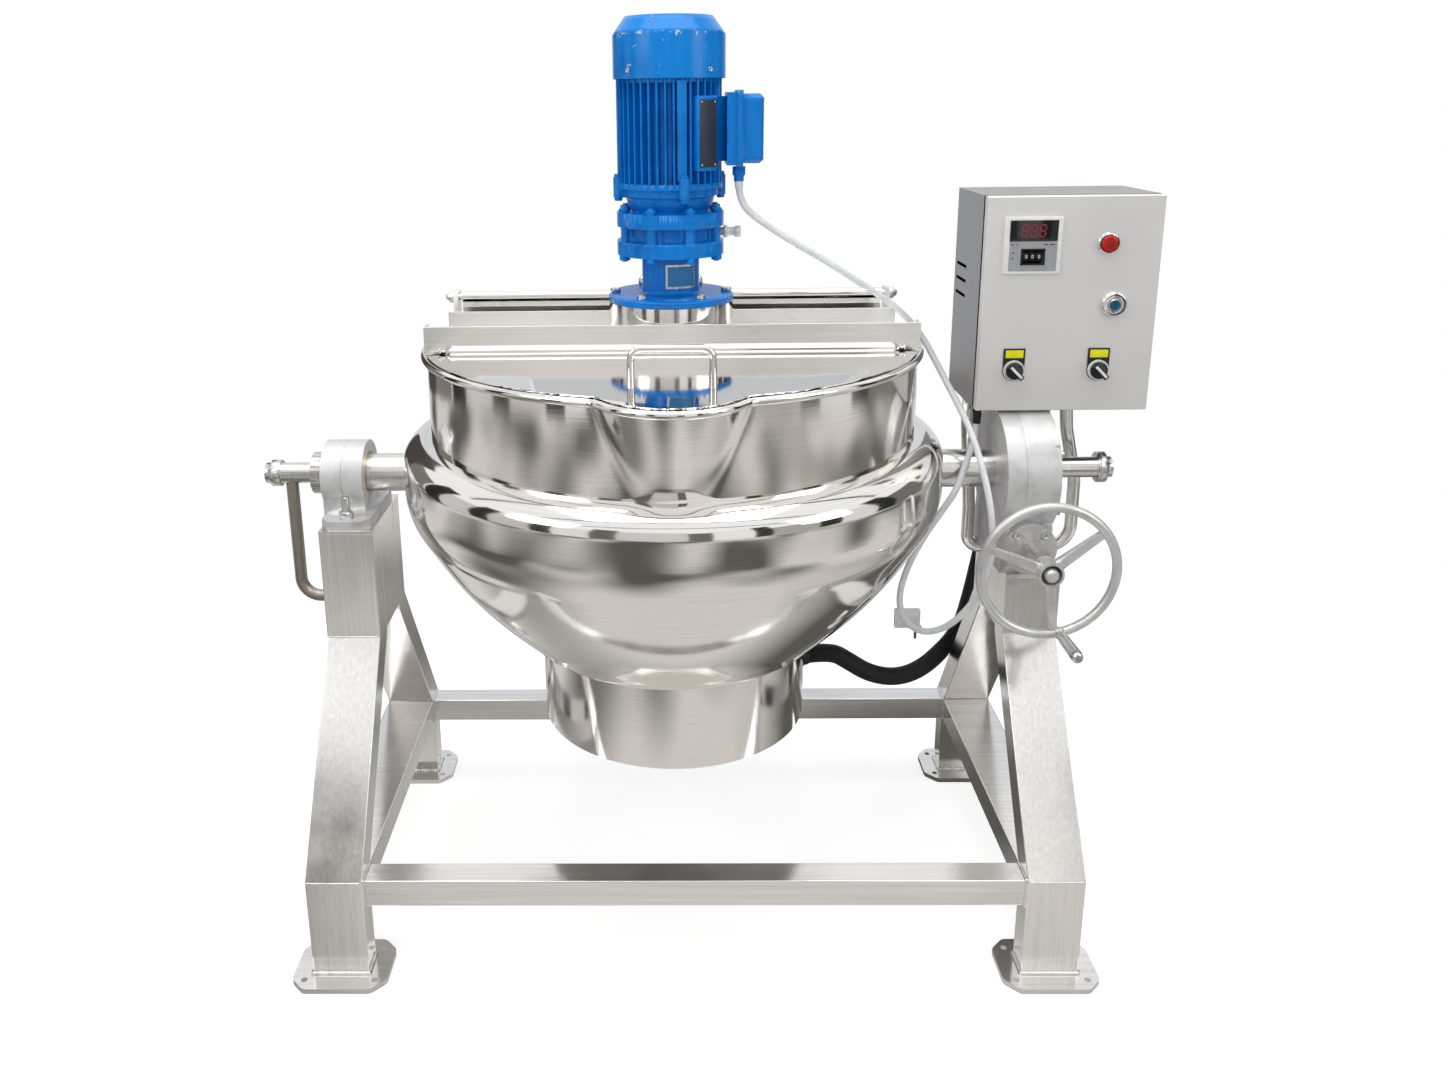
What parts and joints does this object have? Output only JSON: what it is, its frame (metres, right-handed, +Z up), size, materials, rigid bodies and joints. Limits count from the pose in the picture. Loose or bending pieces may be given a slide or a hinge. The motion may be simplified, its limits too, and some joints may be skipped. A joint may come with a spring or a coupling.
{
  "type": "tilting jacketed kettle",
  "caption": "Tilting jacketed cooking kettle on a bent-tube stand, with a motor-driven anchor stirrer, hinged half lids, worm-gear handwheel and a control box.",
  "frame": {"origin": "on the floor, midway between the four foot plates", "axes": "+Z up, +X to the gearbox and control box side, -Y to the side the kettle pours to"},
  "size_m": [1.305, 0.7945, 1.321],
  "materials": {
    "steel_polished": "mirror-polished stainless steel",
    "steel_satin": "brushed stainless steel sheet",
    "steel_tube": "ground stainless steel square tube with bright weld lines",
    "steel_bolt": "plain stainless steel fastener",
    "shaft_steel": "turned steel",
    "casting_silver": "silver painted casting, slightly rough",
    "wheel_silver": "smooth silver painted casting",
    "enamel_blue": "glossy blue enamel with a few chips",
    "bronze": "machined bronze",
    "packing_white": "white sealing plastic",
    "box_grey": "light grey powder coat",
    "board_grey": "grey plastic modules on a steel plate",
    "controls": "black and white plastic instruments",
    "knob_black": "black plastic knob",
    "lock_chrome": "chromed lock core",
    "digit_black": "black number wheel with white digits",
    "cable_white": "white cable sheath",
    "conduit_black": "black corrugated conduit",
    "clip_white": "white plastic clip",
    "gland_black": "black plastic gland"
  },
  "bodies": {
    "stand": {"legs_left": "steel_tube", "legs_right": "steel_tube", "column_panels": "steel_tube", "side_rails": "steel_tube", "cross_rails": "steel_tube", "foot_plates": "steel_tube", "bearing_housing": "casting_silver", "bearing_bush": "bronze", "stand_bolts": "steel_bolt", "inlet_pipe": "shaft_steel", "gearbox_housing": "casting_silver", "gearbox_cover": "casting_silver", "worm_bearings": "wheel_silver", "box_body": "box_grey", "box_components": "board_grey", "box_posts": "steel_tube", "box_glands": "gland_black", "motor_cable": "cable_white", "conduit": "conduit_black", "cable_clip": "clip_white"},
    "kettle": {"inner_pot": "steel_polished", "jacket": "steel_polished", "skirt": "steel_polished", "heaters": "shaft_steel", "trunnions": "shaft_steel", "shaft_packings": "packing_white", "lock_rings": "shaft_steel", "outlet_pipe": "shaft_steel", "worm_wheel": "bronze", "bridge": "steel_polished", "pedestal": "steel_polished", "shaft_bush": "packing_white", "front_hinge": "steel_polished", "rear_hinge": "steel_polished", "reducer_base": "enamel_blue", "reducer_ring": "enamel_blue", "drive_bolts": "steel_bolt", "motor_shield": "enamel_blue", "motor_stator": "enamel_blue", "terminal_box": "enamel_blue", "fan_cowl": "enamel_blue", "kettle_glands": "gland_black"},
    "agitator": {"agitator_shaft": "shaft_steel", "anchor_frame": "steel_satin", "scrapers": "packing_white"},
    "rotor": {"motor_rotor": "shaft_steel", "cooling_fan": "gland_black"},
    "lid_front": {"front_lid": "steel_polished"},
    "lid_rear": {"rear_lid": "steel_polished"},
    "worm": {"worm_shaft": "shaft_steel", "handwheel": "wheel_silver"},
    "grip": {"handwheel_grip": "steel_polished"},
    "door": {"box_door": "box_grey", "controller": "controls"},
    "lock": {"lock_barrel": "lock_chrome"},
    "knob_left": {"switch_left": "knob_black"},
    "knob_right": {"switch_right": "knob_black"},
    "digit_1": {"number_wheel_1": "digit_black"},
    "digit_2": {"number_wheel_2": "digit_black"},
    "digit_3": {"number_wheel_3": "digit_black"}
  },
  "joints": [
    {"name": "kettle_tilt", "type": "hinge", "parent": "stand", "child": "kettle", "pos_m": [-0.024, 0, 0.67], "axis": [1, 0, 0], "range_deg": [0, 90], "deforming": ["motor_cable", "conduit", "cable_clip"]},
    {"name": "handwheel_turn", "type": "hinge", "parent": "stand", "child": "worm", "pos_m": [0.492, -0.175, 0.5765], "axis": [0, -1, 0], "range_deg": [-1, 3800]},
    {"name": "grip_spin", "type": "hinge", "parent": "worm", "child": "grip", "pos_m": [0.51303, -0.2, 0.4854], "axis": [0, -1, 0], "continuous": true},
    {"name": "agitator_spin", "type": "hinge", "parent": "kettle", "child": "agitator", "pos_m": [-0.024, 0, 0.7], "axis": [0, 0, 1], "continuous": true},
    {"name": "rotor_spin", "type": "hinge", "parent": "kettle", "child": "rotor", "pos_m": [-0.024, 0, 1.17], "axis": [0, 0, 1], "continuous": true},
    {"name": "front_lid_open", "type": "hinge", "parent": "kettle", "child": "lid_front", "pos_m": [-0.024, -0.1015, 0.8775], "axis": [-1, 0, 0], "range_deg": [0, 75]},
    {"name": "rear_lid_open", "type": "hinge", "parent": "kettle", "child": "lid_rear", "pos_m": [-0.024, 0.12, 0.917], "axis": [1, 0, 0], "range_deg": [0, 75]},
    {"name": "door_swing", "type": "hinge", "parent": "stand", "child": "door", "pos_m": [0.423, -0.0125, 0.92], "axis": [0, 0, -1], "range_deg": [0, 100]},
    {"name": "lock_turn", "type": "hinge", "parent": "door", "child": "lock", "pos_m": [0.606, -0.02, 0.921], "axis": [0, -1, 0], "range_deg": [0, 90]},
    {"name": "left_switch_turn", "type": "hinge", "parent": "door", "child": "knob_left", "pos_m": [0.47, -0.03, 0.826], "axis": [0, 1, 0], "range_deg": [0, 90]},
    {"name": "right_switch_turn", "type": "hinge", "parent": "door", "child": "knob_right", "pos_m": [0.591, -0.03, 0.826], "axis": [0, 1, 0], "range_deg": [0, 90]},
    {"name": "digit_1_turn", "type": "hinge", "parent": "door", "child": "digit_1", "pos_m": [0.476, -0.0205, 0.99], "axis": [1, 0, 0], "continuous": true},
    {"name": "digit_2_turn", "type": "hinge", "parent": "door", "child": "digit_2", "pos_m": [0.485, -0.0205, 0.99], "axis": [1, 0, 0], "continuous": true},
    {"name": "digit_3_turn", "type": "hinge", "parent": "door", "child": "digit_3", "pos_m": [0.494, -0.0205, 0.99], "axis": [1, 0, 0], "continuous": true}
  ],
  "couplings": [
    {"joint": "handwheel_turn", "follows": "kettle_tilt", "ratio": 42},
    {"joint": "rotor_spin", "follows": "agitator_spin", "ratio": -29}
  ]
}
